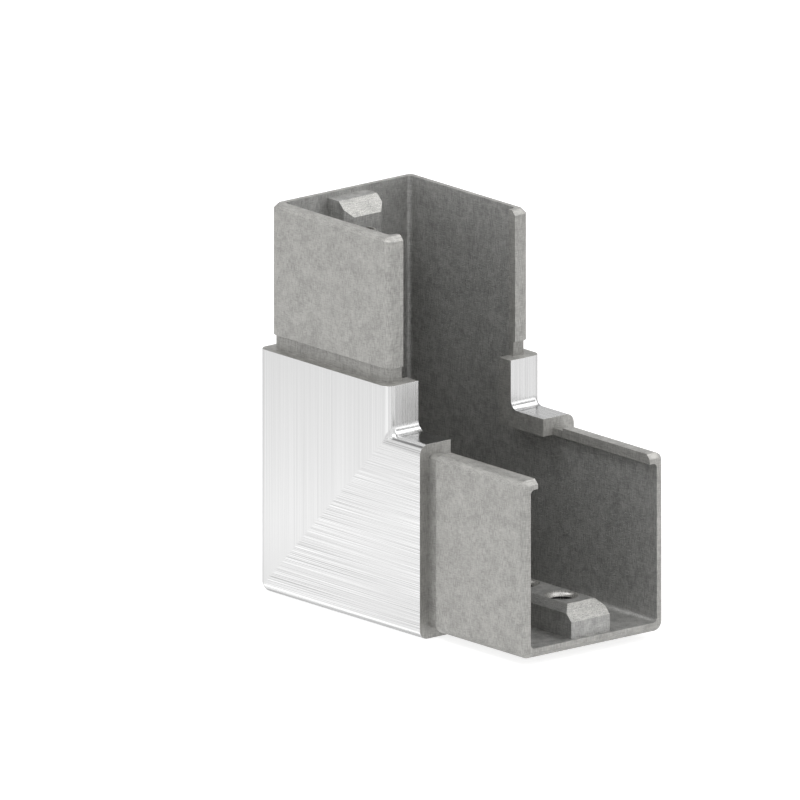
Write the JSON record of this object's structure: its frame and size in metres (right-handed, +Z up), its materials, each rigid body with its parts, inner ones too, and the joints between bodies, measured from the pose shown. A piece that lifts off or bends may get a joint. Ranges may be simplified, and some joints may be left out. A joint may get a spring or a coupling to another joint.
{
  "type": "square tube corner connector",
  "caption": "Right-angle corner connector for slotted square tube: a brushed elbow with an open-sided spigot at each end and a threaded pad in each spigot.",
  "frame": {"origin": "middle of the foot, the elbow's lowest face, under the centre of the bounding box", "axes": "+X along the lower arm towards its open end, +Z up along the other arm, +Y across the width"},
  "size_m": [0.08, 0.04, 0.08],
  "materials": {
    "stainless": "brushed elbow, as-cast matte spigots and inside"
  },
  "bodies": {
    "root": {"connector_body": "stainless"}
  },
  "joints": []
}
